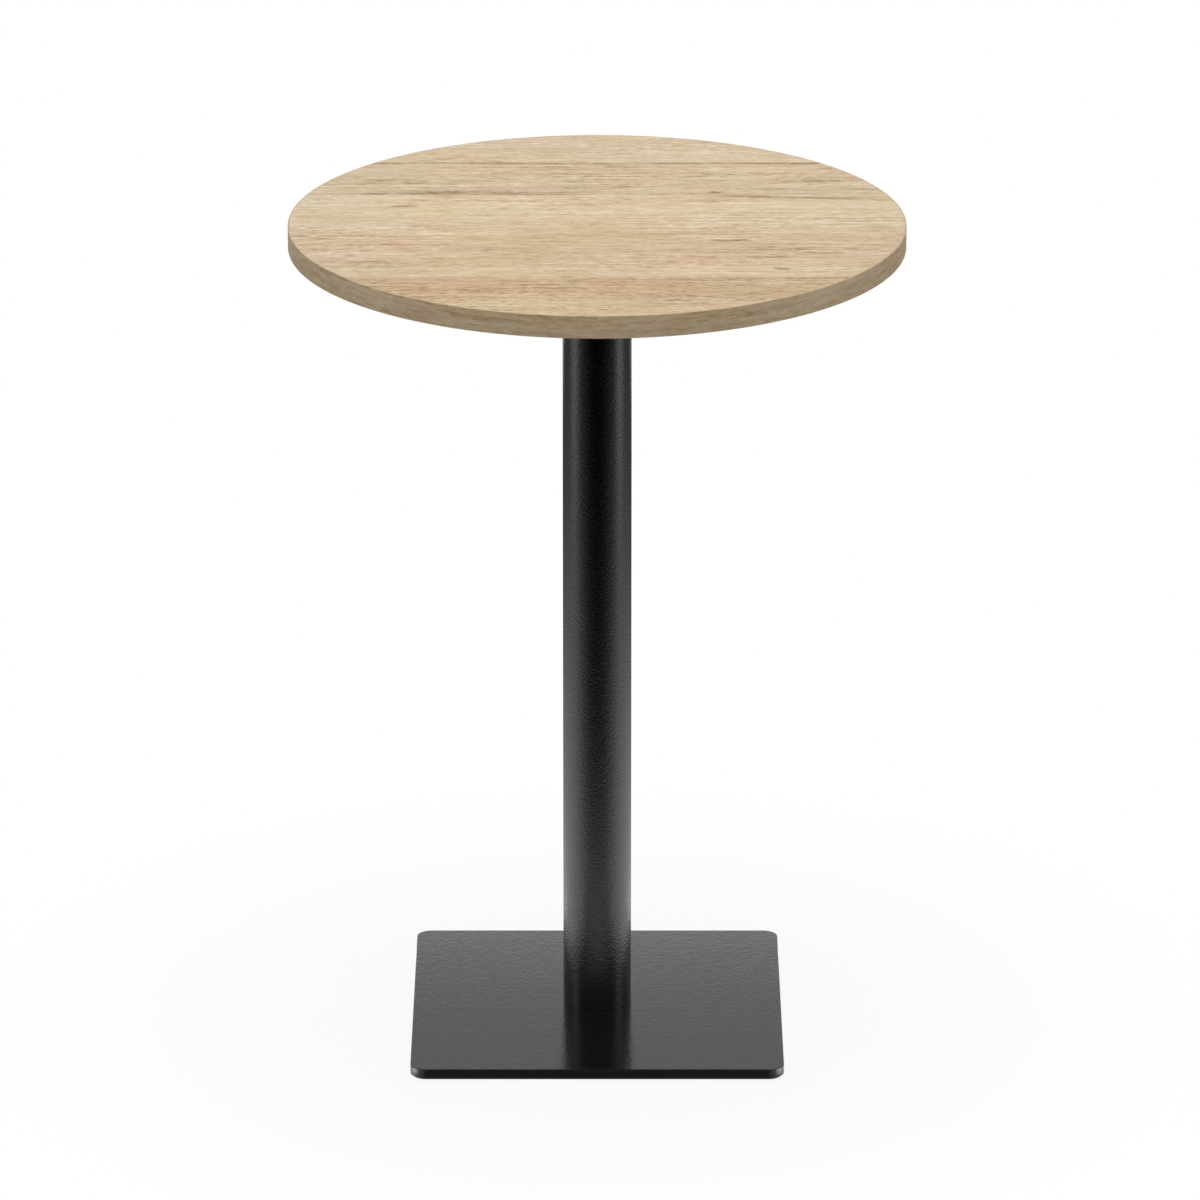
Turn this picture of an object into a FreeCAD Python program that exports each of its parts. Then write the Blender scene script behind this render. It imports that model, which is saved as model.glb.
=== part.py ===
import FreeCAD, Part
import os
import re
import Sketcher
from FreeCAD import Vector

# Bar table. Millimetres, floor at z = 0, column on the z axis, front of the table towards -y.

SIZES = {
    # Round top: a board between two laminate sheets, with a strip bent round its rim
    "table_height": 1100,
    "top_diameter": 800,
    "core_thickness": 28,
    "laminate_thickness": 0.8,
    "band_thickness": 2,
    "band_edge_radius": 1,
    "band_seam": 0.3,
    "glue_line": 0.1,
    # Column
    "column_diameter": 90,
    "column_wall": 2,
    "spigot_clearance": 0.2,
    # Base plate and the disc that centres the tube on it
    "plate_side": 490,
    "plate_thickness": 15,
    "plate_corner_radius": 20,
    "plate_top_radius": 0.8,
    "plate_bottom_chamfer": 3,
    "spigot_height": 14,
    "spigot_chamfer": 1.5,
    # Tie rod with its nuts and washers; threads are plain round fits
    "rod_diameter": 12,
    "rod_chamfer": 1.2,
    "rod_hole_clearance": 0.5,
    "rod_end": 3,
    "rod_end_room": 1,
    "thread_clearance": 0.05,
    "nut_wall": 3,
    "nut_height": 10.8,
    "thin_nut_height": 6,
    "washer_rim": 6,
    "washer_thickness": 2.5,
    "pocket_clearance": 3,
    "pocket_room": 0.5,
    # Cast cross under the top
    "spider_span": 440,
    "hub_lip": 7,
    "hub_thickness": 14,
    "hub_floor": 12,
    "arm_thickness": 6,
    "arm_root_width": 48,
    "arm_tip_width": 28,
    "arm_tip_radius": 8,
    "rib_thickness": 8,
    "rib_gap": 30,
    # Wood screws from the cross into the board
    "screw_diameter": 5,
    "screw_cover": 10.8,
    "screw_point": 5,
    "screw_tip_room": 1,
    "screw_head_diameter": 9.5,
    "screw_head_height": 3,
    "screw_head_radius": 1.2,
    "screw_slot_length": 4.4,
    "screw_slot_width": 1,
    "screw_slot_depth": 1.6,
    "screw_hole_clearance": 0.5,
    "screw_tip_inset": 18,
    "screw_spacing": 36,
    # Levelling feet in shallow seats under the plate
    "foot_inset": 48,
    "pad_rim": 9.9,
    "pad_land": 1.2,
    "pad_chamfer": 0.6,
    "seat_depth": 2,
    "seat_clearance": 1,
    "stud_diameter": 10,
    "stud_cover": 2.5,
    "stud_end_room": 0.5,
    "stud_chamfer": 1,
    "stud_flange_lip": 5,
    "stud_flange_thickness": 1.5,
    "stud_neck_diameter": 8,
    "stud_flare_lip": 1.3,
    "stud_flare_thickness": 0.7,
    "stud_floor_gap": 0.45,
    "swivel_clearance": 0.1,
    "swivel_play": 0.15,
    "flare_room": 0.5,
    "socket_flats": 4,
    "socket_depth": 5,
}

# The most of a wall that a rounding on its edge may take up
FILLET_SHARE = 0.9

# Lengths and levels that follow from the sizes
DERIVED = {
    "top_radius": "top_diameter / 2",
    "top_thickness": "core_thickness + 2 * laminate_thickness",
    "underside": "table_height - top_thickness",
    "band_inner_radius": "top_radius - band_thickness",
    "band_rounding": f"min(band_edge_radius; {FILLET_SHARE} * band_thickness)",
    "core_radius": "band_inner_radius - glue_line",
    "column_radius": "column_diameter / 2",
    "bore_radius": "column_radius - column_wall",
    "spigot_radius": "bore_radius - spigot_clearance",
    "plate_bottom": "pad_height - seat_depth",
    "plate_top": "plate_bottom + plate_thickness",
    "column_top": "underside - hub_thickness",
    "rod_radius": "rod_diameter / 2",
    "rod_hole_radius": "rod_radius + rod_hole_clearance",
    "nut_flats": "rod_diameter + 2 * nut_wall",
    "nut_corner_radius": "nut_flats / sqrt(3)",
    "washer_radius": "rod_radius + washer_rim",
    "pocket_radius": "max(nut_corner_radius; washer_radius) + pocket_clearance",
    "pocket_depth": "washer_thickness + thin_nut_height + pocket_room",
    "hub_recess": "washer_thickness + nut_height + rod_end + rod_end_room",
    "hub_radius": "column_radius + hub_lip",
    "hub_height": "max(hub_recess; hub_thickness) + hub_floor",
    "arm_reach": "spider_span / 2",
    "arm_tip_rounding": f"min(arm_tip_radius; {FILLET_SHARE} * arm_tip_width / 2)",
    "rib_end": "screw_inner - screw_head_rim - rib_gap",
    "screw_outer": "arm_reach - screw_tip_inset",
    "screw_inner": "screw_outer - screw_spacing",
    "screw_radius": "screw_diameter / 2",
    "screw_head_rim": "screw_head_diameter / 2",
    "screw_bite": "core_thickness - screw_cover",
    "screw_length": "arm_thickness + laminate_thickness + screw_bite",
    "foot_offset": "plate_side / 2 - foot_inset",
    "stud_radius": "stud_diameter / 2",
    "flange_radius": "stud_radius + stud_flange_lip",
    "neck_radius": "stud_neck_diameter / 2",
    "flare_radius": "neck_radius + stud_flare_lip",
    "flare_top": "stud_floor_gap + stud_flare_thickness",
    "land_bottom": "flare_top + swivel_play",
    "flange_bottom": "land_bottom + pad_land",
    "pad_height": "flange_bottom + stud_flange_thickness",
    "pad_radius": "flange_radius + swivel_clearance + pad_rim",
    "seat_radius": "pad_radius + seat_clearance",
    "stud_hole_depth": "plate_thickness - stud_cover",
    "stud_top": "plate_bottom + stud_hole_depth - stud_end_room",
}

# How near two levels or reaches count as the same
SAME = 0.001

ARMS = 4
SCREWS_PER_ARM = 2

# Levelling feet: corner and place of each
FEET = [
    ("front_left", "-foot_offset", "-foot_offset"),
    ("front_right", "foot_offset", "-foot_offset"),
    ("rear_left", "-foot_offset", "foot_offset"),
    ("rear_right", "foot_offset", "foot_offset"),
]

doc = FreeCAD.newDocument("bar_table")
sheet = doc.addObject("Spreadsheet::Sheet", "sizes")
for row, (alias, number) in enumerate(SIZES.items(), start=1):
    sheet.set(f"A{row}", str(number))
    sheet.setAlias(f"A{row}", alias)
doc.recompute()


def formula(text):
    # Writes a line of plain names as an expression on the sheet's cells
    def cell(match):
        word = match[0]
        if word in SIZES:
            return f"sizes.{word}"
        if word in DERIVED:
            return f"({formula(DERIVED[word])})"
        return word
    return re.sub(r"[a-z_]+", cell, text)


def value(text):
    return float(sheet.evalExpression(formula(text)))


# Sketches

def origin_feature(body, role):
    return next(feature for feature in body.Origin.OriginFeatures if feature.Role == role)


def new_body(label, x="0", y="0", z="0"):
    body = doc.addObject("PartDesign::Body", label)
    body.Label = label
    for axis, place in (("x", x), ("y", y), ("z", z)):
        body.setExpression(f"Placement.Base.{axis}", formula(place))
    return body


def new_sketch(body, name, plane="XY_Plane", x="0", z="0"):
    # x and z shift the sketch along its own first axis and its normal
    sketch = body.newObject("Sketcher::SketchObject", f"{body.Label}_{name}")
    sketch.AttachmentSupport = [(origin_feature(body, plane), "")]
    sketch.MapMode = "FlatFace"
    sketch.setExpression("AttachmentOffset.Base.x", formula(x))
    sketch.setExpression("AttachmentOffset.Base.z", formula(z))
    return sketch


def pin(sketch, geometry, point, x, y):
    # Holds a point of the sketch at x, y from the sketch's origin, or on an axis (-1 across, -2 up)
    for kind, place, axis in (("DistanceX", x, -2), ("DistanceY", y, -1)):
        if place == "0":
            sketch.addConstraint(Sketcher.Constraint("PointOnObject", geometry, point, axis))
            continue
        index = sketch.addConstraint(Sketcher.Constraint(kind, geometry, point, value(place)))
        sketch.setExpression(f"Constraints[{index}]", formula(place))


def add_outline(sketch, corners):
    points = [Vector(value(x), value(y), 0) for x, y in corners]
    lines = []
    for start, end in zip(points, points[1:] + points[:1]):
        lines.append(sketch.addGeometry(Part.LineSegment(start, end), False))
    for line, following in zip(lines, lines[1:] + lines[:1]):
        sketch.addConstraint(Sketcher.Constraint("Coincident", line, 2, following, 1))
    for line, (x, y) in zip(lines, corners):
        pin(sketch, line, 1, x, y)


def add_circle(sketch, radius, x="0", y="0"):
    centre = Vector(value(x), value(y), 0)
    ring = sketch.addGeometry(Part.Circle(centre, Vector(0, 0, 1), value(radius)), False)
    pin(sketch, ring, 3, x, y)
    index = sketch.addConstraint(Sketcher.Constraint("Radius", ring, value(radius)))
    sketch.setExpression(f"Constraints[{index}]", formula(radius))


def add_hexagon(sketch, flats):
    corner, half, flat = f"{flats} / sqrt(3)", f"{flats} / sqrt(12)", f"{flats} / 2"
    add_outline(sketch, [
        (corner, "0"), (half, flat), (f"-{half}", flat),
        (f"-{corner}", "0"), (f"-{half}", f"-{flat}"), (half, f"-{flat}"),
    ])


# Features

def add_feature(body, kind, name, **settings):
    feature = body.newObject(f"PartDesign::{kind}", f"{body.Label}_{name}")
    for setting, content in settings.items():
        setattr(feature, setting, content)
    return feature


def pad(body, sketch, length, name="pad", **settings):
    feature = add_feature(body, "Pad", name, Profile=sketch, **settings)
    feature.setExpression("Length", formula(length))
    doc.recompute()
    return feature


def must_cut(body, volume, feature):
    doc.recompute()
    if not body.Shape.Volume < volume:
        raise RuntimeError(f"{feature.Name} removes nothing")
    return feature


def pocket(body, sketch, name, depth=None, **settings):
    # Without a depth the pocket goes right through
    volume = body.Shape.Volume
    feature = add_feature(body, "Pocket", name, Profile=sketch, **settings)
    if depth is None:
        feature.Type = "ThroughAll"
    else:
        feature.setExpression("Length", formula(depth))
    return must_cut(body, volume, feature)


def revolve(body, sketch, name="turned"):
    feature = add_feature(body, "Revolution", name, Profile=sketch)
    feature.ReferenceAxis = (sketch, ["V_Axis"])
    feature.Angle = 360
    doc.recompute()
    return feature


def groove(body, sketch, name):
    volume = body.Shape.Volume
    feature = add_feature(body, "Groove", name, Profile=sketch)
    feature.ReferenceAxis = (sketch, ["V_Axis"])
    feature.Angle = 360
    return must_cut(body, volume, feature)


def round_the_axis(body, name, originals):
    pattern = add_feature(body, "PolarPattern", name, Originals=originals, Occurrences=ARMS)
    pattern.Axis = (origin_feature(body, "Z_Axis"), [""])
    pattern.Angle = 360
    body.Tip = pattern
    doc.recompute()
    return pattern


def edge_names(body, chosen):
    edges = enumerate(body.Tip.Shape.Edges, start=1)
    return [f"Edge{number}" for number, edge in edges if chosen(edge)]


def soften(body, kind, name, size, chosen):
    # A Fillet or Chamfer on the edges of the finished form so far
    base = body.Tip
    feature = add_feature(body, kind, name, Base=(base, edge_names(body, chosen)))
    feature.setExpression("Radius" if kind == "Fillet" else "Size", formula(size))
    doc.recompute()
    return feature


def is_upright(edge):
    box = edge.BoundBox
    return box.ZLength > max(box.XLength, box.YLength)


def lies_at(edge, level):
    box = edge.BoundBox
    return abs(box.ZMin - level) < SAME and abs(box.ZMax - level) < SAME


def reaches(edge, distance):
    # Whether the edge's box ends at this distance from the z axis
    box = edge.BoundBox
    farthest = max(abs(box.XMin), abs(box.XMax), abs(box.YMin), abs(box.YMax))
    return abs(farthest - distance) < SAME


# Round top

def top_sheet(label, thickness, level):
    body = new_body(label, z=level)
    disc = new_sketch(body, "outline")
    add_circle(disc, "core_radius")
    pad(body, disc, thickness)
    return body


def screw_holes_of_one_arm(body, clearance):
    holes = new_sketch(body, "screw_holes")
    for distance in ("screw_inner", "screw_outer"):
        add_circle(holes, f"screw_radius + {clearance}", x=distance)
    return holes


def bore_for_screws(body, depth=None):
    holes = screw_holes_of_one_arm(body, "thread_clearance")
    first = pocket(body, holes, "screw_bore", depth, Reversed=True)
    round_the_axis(body, "screw_bores", [first])


def table_top_core():
    body = top_sheet("table_top_core", "core_thickness", "underside + laminate_thickness")
    bore_for_screws(body, "screw_bite + screw_tip_room")
    return body


def table_top_backing():
    body = top_sheet("table_top_backing", "laminate_thickness", "underside")
    bore_for_screws(body)
    return body


def table_top_laminate():
    return top_sheet("table_top_laminate", "laminate_thickness", "table_height - laminate_thickness")


def table_top_edge_band():
    body = new_body("table_top_edge_band", z="underside")
    section = new_sketch(body, "section", "XZ_Plane")
    add_outline(section, [
        ("band_inner_radius", "0"), ("top_radius", "0"),
        ("top_radius", "top_thickness"), ("band_inner_radius", "top_thickness"),
    ])
    revolve(body, section)
    rim = value("top_radius")
    soften(body, "Fillet", "rounded_edges", "band_rounding",
           lambda edge: not is_upright(edge) and reaches(edge, rim))
    # Hairline at the back where the strip's two ends meet
    seam = new_sketch(body, "seam")
    add_outline(seam, [
        ("-band_seam / 2", "band_inner_radius - band_thickness"),
        ("band_seam / 2", "band_inner_radius - band_thickness"),
        ("band_seam / 2", "top_radius + band_thickness"),
        ("-band_seam / 2", "top_radius + band_thickness"),
    ])
    pocket(body, seam, "seam_cut", Reversed=True)
    return body


# Cross under the top and its screws

def top_spider():
    # Drawn downwards from the underside of the top
    body = new_body("top_spider", z="underside")
    hub = new_sketch(body, "hub_section", "XZ_Plane")
    add_outline(hub, [
        ("rod_hole_radius", "-hub_recess"), ("pocket_radius", "-hub_recess"),
        ("pocket_radius", "0"), ("hub_radius", "0"),
        ("hub_radius", "-hub_thickness"), ("spigot_radius", "-hub_thickness"),
        ("spigot_radius", "-hub_height"), ("rod_hole_radius", "-hub_height"),
    ])
    revolve(body, hub, "hub")
    plan = new_sketch(body, "arm_plan")
    add_outline(plan, [
        ("spigot_radius", "-arm_root_width / 2"), ("arm_reach", "-arm_tip_width / 2"),
        ("arm_reach", "arm_tip_width / 2"), ("spigot_radius", "arm_root_width / 2"),
    ])
    arm = pad(body, plan, "arm_thickness", "arm", Reversed=True)
    side = new_sketch(body, "rib_side", "XZ_Plane")
    add_outline(side, [
        ("spigot_radius", "-arm_thickness / 2"), ("rib_end", "-arm_thickness / 2"),
        ("rib_end", "-arm_thickness"), ("spigot_radius", "-hub_thickness"),
    ])
    rib = pad(body, side, "rib_thickness", "rib", Midplane=True)
    bored = pocket(body, screw_holes_of_one_arm(body, "screw_hole_clearance"), "screw_hole")
    round_the_axis(body, "arms", [arm, rib, bored])
    reach = value("arm_reach")
    soften(body, "Fillet", "arm_tips", "arm_tip_rounding",
           lambda edge: is_upright(edge) and reaches(edge, reach))
    return body


def top_screws():
    # Drawn upwards from the seat of the head, on the screw nearest the hub
    body = new_body("top_screws", z="underside - arm_thickness")
    body.AllowCompound = True
    section = new_sketch(body, "section", "XZ_Plane", x="screw_inner")
    add_outline(section, [
        ("0", "-screw_head_height"), ("screw_head_rim - screw_head_radius", "-screw_head_height"),
        ("screw_head_rim", "screw_head_radius - screw_head_height"), ("screw_head_rim", "0"),
        ("screw_radius", "0"), ("screw_radius", "screw_length - screw_point"), ("0", "screw_length"),
    ])
    screw = revolve(body, section)
    cross = new_sketch(body, "drive_cross", x="screw_inner", z="-screw_head_height")
    long, short = "screw_slot_length / 2", "screw_slot_width / 2"
    add_outline(cross, [
        (long, f"-{short}"), (long, short), (short, short), (short, long),
        (f"-{short}", long), (f"-{short}", short), (f"-{long}", short), (f"-{long}", f"-{short}"),
        (f"-{short}", f"-{short}"), (f"-{short}", f"-{long}"), (short, f"-{long}"), (short, f"-{short}"),
    ])
    drive = pocket(body, cross, "drive", "screw_slot_depth", Reversed=True)
    copies = add_feature(body, "MultiTransform", "copies", Originals=[screw, drive])
    outwards = add_feature(body, "LinearPattern", "outwards", Occurrences=SCREWS_PER_ARM)
    outwards.Direction = (origin_feature(body, "X_Axis"), [""])
    outwards.setExpression("Length", formula("screw_spacing"))
    around = add_feature(body, "PolarPattern", "around", Occurrences=ARMS)
    around.Axis = (origin_feature(body, "Z_Axis"), [""])
    around.Angle = 360
    copies.Transformations = [outwards, around]
    body.Tip = copies
    doc.recompute()
    return body


# Column, rod, nuts and washers

def ring(label, outer, inner, height, level):
    body = new_body(label, z=level)
    section = new_sketch(body, "section")
    add_circle(section, outer)
    add_circle(section, inner)
    pad(body, section, height)
    return body


def column_tube():
    return ring("column_tube", "column_radius", "bore_radius", "column_top - plate_top", "plate_top")


def tie_rod():
    bottom = "plate_bottom + pocket_room"
    top = "underside - rod_end_room"
    body = new_body("tie_rod", z=bottom)
    section = new_sketch(body, "section")
    add_circle(section, "rod_radius")
    pad(body, section, f"{top} - ({bottom})")
    soften(body, "Chamfer", "ends", "rod_chamfer", lambda edge: not is_upright(edge))
    return body


def base_spigot():
    body = ring("base_spigot", "spigot_radius", "rod_hole_radius", "spigot_height", "plate_top")
    height = value("spigot_height")
    rim = value("spigot_radius")
    soften(body, "Chamfer", "lead_in", "spigot_chamfer",
           lambda edge: lies_at(edge, height) and reaches(edge, rim))
    return body


def washer(label, level):
    return ring(label, "washer_radius", "rod_hole_radius", "washer_thickness", level)


def nut(label, height, level):
    body = new_body(label, z=level)
    section = new_sketch(body, "flats")
    add_hexagon(section, "nut_flats")
    pad(body, section, height)
    bore = new_sketch(body, "thread")
    add_circle(bore, "rod_radius + thread_clearance")
    pocket(body, bore, "thread_bore", Reversed=True)
    # Both faces are turned down to a circle of the flats' width, at 30 degrees
    beyond = "2 * nut_corner_radius - nut_flats / 2"
    drop = "2 * (nut_corner_radius - nut_flats / 2) / sqrt(3)"
    corners = new_sketch(body, "corners", "XZ_Plane")
    add_outline(corners, [("nut_flats / 2", "0"), (beyond, "0"), (beyond, drop)])
    add_outline(corners, [("nut_flats / 2", height), (beyond, f"{height} - {drop}"), (beyond, height)])
    groove(body, corners, "turned_corners")
    return body


# Base plate

def base_plate():
    body = new_body("base_plate", z="plate_bottom")
    square = new_sketch(body, "square")
    half = "plate_side / 2"
    add_outline(square, [(f"-{half}", f"-{half}"), (half, f"-{half}"), (half, half), (f"-{half}", half)])
    pad(body, square, "plate_thickness")
    soften(body, "Fillet", "corners", "plate_corner_radius", is_upright)
    top = value("plate_thickness")
    soften(body, "Fillet", "top_edge", "plate_top_radius", lambda edge: lies_at(edge, top))
    soften(body, "Chamfer", "bottom_edge", "plate_bottom_chamfer", lambda edge: lies_at(edge, 0))
    centre = new_sketch(body, "rod_hole")
    add_circle(centre, "rod_hole_radius")
    pocket(body, centre, "rod_bore", Reversed=True)
    recess = new_sketch(body, "nut_recess")
    add_circle(recess, "pocket_radius")
    pocket(body, recess, "nut_pocket", "pocket_depth", Reversed=True)
    seats = new_sketch(body, "foot_seats")
    threads = new_sketch(body, "foot_threads")
    for _, x, y in FEET:
        add_circle(seats, "seat_radius", x, y)
        add_circle(threads, "stud_radius + thread_clearance", x, y)
    pocket(body, seats, "foot_seat", "seat_depth", Reversed=True)
    pocket(body, threads, "foot_thread", "stud_hole_depth", Reversed=True)
    return body


# Levelling feet

def foot_pad(corner, x, y):
    body = new_body(f"foot_pad_{corner}", x, y)
    section = new_sketch(body, "section", "XZ_Plane")
    swivel = "neck_radius + swivel_clearance"
    add_outline(section, [
        ("flare_radius + flare_room", "0"), ("pad_radius - pad_chamfer", "0"),
        ("pad_radius", "pad_chamfer"), ("pad_radius", "pad_height - pad_chamfer"),
        ("pad_radius - pad_chamfer", "pad_height"), ("flange_radius + swivel_clearance", "pad_height"),
        ("flange_radius + swivel_clearance", "flange_bottom"), (swivel, "flange_bottom"),
        (swivel, "land_bottom"), ("flare_radius + flare_room", "land_bottom"),
    ])
    revolve(body, section)
    return body


def foot_stud(corner, x, y):
    body = new_body(f"foot_stud_{corner}", x, y)
    section = new_sketch(body, "section", "XZ_Plane")
    add_outline(section, [
        ("0", "stud_floor_gap"), ("flare_radius", "stud_floor_gap"), ("flare_radius", "flare_top"),
        ("neck_radius", "flare_top"), ("neck_radius", "flange_bottom"),
        ("flange_radius", "flange_bottom"), ("flange_radius", "pad_height"),
        ("stud_radius", "pad_height"), ("stud_radius", "stud_top - stud_chamfer"),
        ("stud_radius - stud_chamfer", "stud_top"), ("0", "stud_top"),
    ])
    revolve(body, section)
    key = new_sketch(body, "key_socket", z="stud_floor_gap")
    add_hexagon(key, "socket_flats")
    pocket(body, key, "socket", "socket_depth", Reversed=True)
    return body


def build():
    pieces = [table_top_core(), table_top_backing(), table_top_laminate(), table_top_edge_band()]
    pieces += [top_spider(), top_screws(), column_tube(), tie_rod(), base_spigot(), base_plate()]
    hub_seat = "underside - hub_recess"
    lock_seat = "plate_top + spigot_height"
    pieces.append(washer("rod_top_washer", hub_seat))
    pieces.append(nut("rod_top_nut", "nut_height", f"{hub_seat} + washer_thickness"))
    pieces.append(washer("rod_lock_washer", lock_seat))
    pieces.append(nut("rod_lock_nut", "nut_height", f"{lock_seat} + washer_thickness"))
    pieces.append(washer("rod_base_washer", "plate_bottom + pocket_room + thin_nut_height"))
    pieces.append(nut("rod_base_nut", "thin_nut_height", "plate_bottom + pocket_room"))
    for corner, x, y in FEET:
        pieces.append(foot_pad(corner, x, y))
        pieces.append(foot_stud(corner, x, y))
    return pieces


def check(pieces):
    doc.recompute()
    for item in doc.Objects:
        if "Invalid" in item.State or "Error" in item.State:
            raise RuntimeError(f"{item.Name} failed: {item.State}")
    for piece in pieces:
        if piece.Shape.isNull() or not piece.Shape.isValid():
            raise RuntimeError(f"{piece.Label} has no valid shape")


pieces = build()
check(pieces)
os.makedirs("parts", exist_ok=True)
for piece in pieces:
    piece.Shape.exportStep(f"parts/{piece.Label}.step")
    print(f"{piece.Label}: {len(piece.Shape.Solids)} solid(s), {piece.Shape.Volume:.1f} mm3")
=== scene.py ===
import math

import bpy
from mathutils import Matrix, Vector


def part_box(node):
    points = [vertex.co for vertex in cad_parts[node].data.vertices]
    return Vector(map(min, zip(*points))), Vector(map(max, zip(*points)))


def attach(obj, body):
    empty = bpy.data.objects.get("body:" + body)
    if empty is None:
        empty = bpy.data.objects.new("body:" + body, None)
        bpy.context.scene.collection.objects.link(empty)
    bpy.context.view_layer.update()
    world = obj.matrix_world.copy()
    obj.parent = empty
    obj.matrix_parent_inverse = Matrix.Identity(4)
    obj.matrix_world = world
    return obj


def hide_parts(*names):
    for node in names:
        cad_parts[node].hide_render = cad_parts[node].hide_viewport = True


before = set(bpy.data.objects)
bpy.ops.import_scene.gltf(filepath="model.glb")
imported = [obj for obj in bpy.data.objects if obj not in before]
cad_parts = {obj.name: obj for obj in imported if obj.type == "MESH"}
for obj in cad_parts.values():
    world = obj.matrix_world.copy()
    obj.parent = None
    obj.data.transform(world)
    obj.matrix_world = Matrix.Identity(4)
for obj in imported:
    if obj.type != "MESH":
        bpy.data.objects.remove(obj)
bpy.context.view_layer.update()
print("frame loaded:", len(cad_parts), "nodes")


# shader sockets: arithmetic on one adds Math nodes, and node() adds any other kind
class Socket:
    def __init__(self, tree, socket=None):
        self.tree = tree
        self.socket = socket

    def node(self, kind, settings=None, sockets=None, out=0):
        made = self.tree.nodes.new("ShaderNode" + kind)
        for name, value in (settings or {}).items():
            if name == "stops":
                setStops(made.color_ramp, value)
            else:
                setattr(made, name, value)
        for key, value in (sockets or {}).items():
            if isinstance(value, Socket):
                self.tree.links.new(value.socket, made.inputs[key])
            else:
                made.inputs[key].default_value = value
        return Socket(self.tree, made.outputs[out])

    def math(self, operation, *values):
        return self.node("Math", {"operation": operation}, dict(enumerate(values)))

    def __add__(self, other):
        return self.math("ADD", self, other)

    def __radd__(self, other):
        return self.math("ADD", other, self)

    def __sub__(self, other):
        return self.math("SUBTRACT", self, other)

    def __rsub__(self, other):
        return self.math("SUBTRACT", other, self)

    def __mul__(self, other):
        return self.math("MULTIPLY", self, other)

    def __rmul__(self, other):
        return self.math("MULTIPLY", other, self)

    def __truediv__(self, other):
        return self.math("DIVIDE", self, other)

    def __rtruediv__(self, other):
        return self.math("DIVIDE", other, self)


def setStops(ramp, stops):
    while len(ramp.elements) < len(stops):
        ramp.elements.new(1)
    for element, (place, colour) in zip(ramp.elements, stops):
        element.position = place
        element.color = colour


def grey(level):
    return (level, level, level, 1)


def even(scale):
    return (scale, scale, scale)


def times(vector, factors):
    return vector.node("VectorMath", {"operation": "MULTIPLY"}, {0: vector, 1: factors})


def noise(place, stretch, detail=2, roughness=0.5):
    settings = {"Vector": times(place, stretch), "Scale": 1, "Detail": detail, "Roughness": roughness}
    return place.node("TexNoise", {}, settings)


def swing(pattern):   # noise lies about a half, and its swing about zero
    return pattern - 0.5


def fade(value, low, high, start=0, end=1):
    limits = {"Value": value, "From Min": low, "From Max": high, "To Min": start, "To Max": end}
    return value.node("MapRange", {"interpolation_type": "SMOOTHSTEP"}, limits)


def size(value):
    return value.math("ABSOLUTE", value)


def atLeast(value, least):
    return value.math("MAXIMUM", value, least)


def tint(factor, first, second):   # sockets 6 and 7 and output 2 are the node's colours
    return factor.node("Mix", {"data_type": "RGBA"}, {0: factor, 6: first, 7: second}, 2)


def colourRamp(value, stops):
    return value.node("ValToRGB", {"stops": stops}, {0: value})


def greyRamp(value, levels):
    return colourRamp(value, [(at, grey(level)) for at, level in levels])


def split(vector, axes):
    return [vector.node("SeparateXYZ", {}, {0: vector}, axis) for axis in axes]


def newFinish(name, constants):
    material = bpy.data.materials.new(name)
    material.use_nodes = True
    shader = material.node_tree.nodes["Principled BSDF"]
    for socket, value in constants.items():
        shader.inputs[socket].default_value = value
    start = Socket(material.node_tree)
    return material, shader, start.node("TexCoord", {}, {}, "Object")


def feed(shader, sockets):
    for name, value in sockets.items():
        value.tree.links.new(value.socket, shader.inputs[name])


def showAs(surface, output):
    surface.tree.links.new(surface.socket, surface.tree.nodes[output].inputs["Surface"])


def bump(height, distance):
    return height.node("Bump", {}, {"Height": height, "Distance": distance, "Strength": 1})


# oak decor, shared by the sheet on top, the strip round the rim and the backing
oakTones = [
    (0.0, (0.300, 0.200, 0.094, 1)),
    (0.25, (0.512, 0.369, 0.203, 1)),
    (0.5, (0.627, 0.477, 0.297, 1)),
    (0.75, (0.714, 0.570, 0.379, 1)),
    (1.0, (0.802, 0.696, 0.515, 1)),
]
oakGrain = {   # sizes are cycles per metre along, across and between planks
    "shine": 0.35, "relief": 0.00008, "streakRough": 0.10,
    "sway": 0.014, "swaySize": (2.1, 4.5, 1),
    "ripple": 0.0035, "rippleSize": (14, 30, 1),
    "layers": [   # size of the streaks and their share
        ((3.2, 165, 1), 0.85),
        ((24, 190, 1), 0.95),
        ((80, 280, 1), 1.15),
        ((60, 900, 1), 0.35),
    ],
    "layerRoughness": 0.6,
    "cloudSize": (7, 34, 1), "cloudShare": 0.42,
    "figureSize": (4, 18, 1), "figureRange": (0.35, 0.65), "calm": 0.78, "lively": 1.32,
    "poreSize": (48, 1100, 1), "poreRange": (0.58, 0.72),
    "flockSize": (7, 60, 1), "flockRange": (0.42, 0.62),   # pores come in flocks
}


def grainOf(along, across, plank):
    grain = oakGrain
    place = along.node("CombineXYZ", {}, {0: along, 1: across, 2: plank})
    sway = grain["sway"] * swing(noise(place, grain["swaySize"]))
    ripple = grain["ripple"] * swing(noise(place, grain["rippleSize"]))
    fibre = along.node("CombineXYZ", {}, {0: along, 1: across + sway + ripple, 2: plank})
    layers = []
    for stretch, share in grain["layers"]:
        layers.append(share * swing(noise(fibre, stretch, roughness=grain["layerRoughness"])))
    figure = fade(noise(place, grain["figureSize"]), *grain["figureRange"], grain["calm"], grain["lively"])
    cloud = grain["cloudShare"] * swing(noise(fibre, grain["cloudSize"]))
    streaks = sum(layers) * figure + cloud
    flock = fade(noise(fibre, grain["flockSize"]), *grain["flockRange"])
    pores = flock * fade(noise(fibre, grain["poreSize"], detail=1), *grain["poreRange"])
    return streaks, pores


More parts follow.
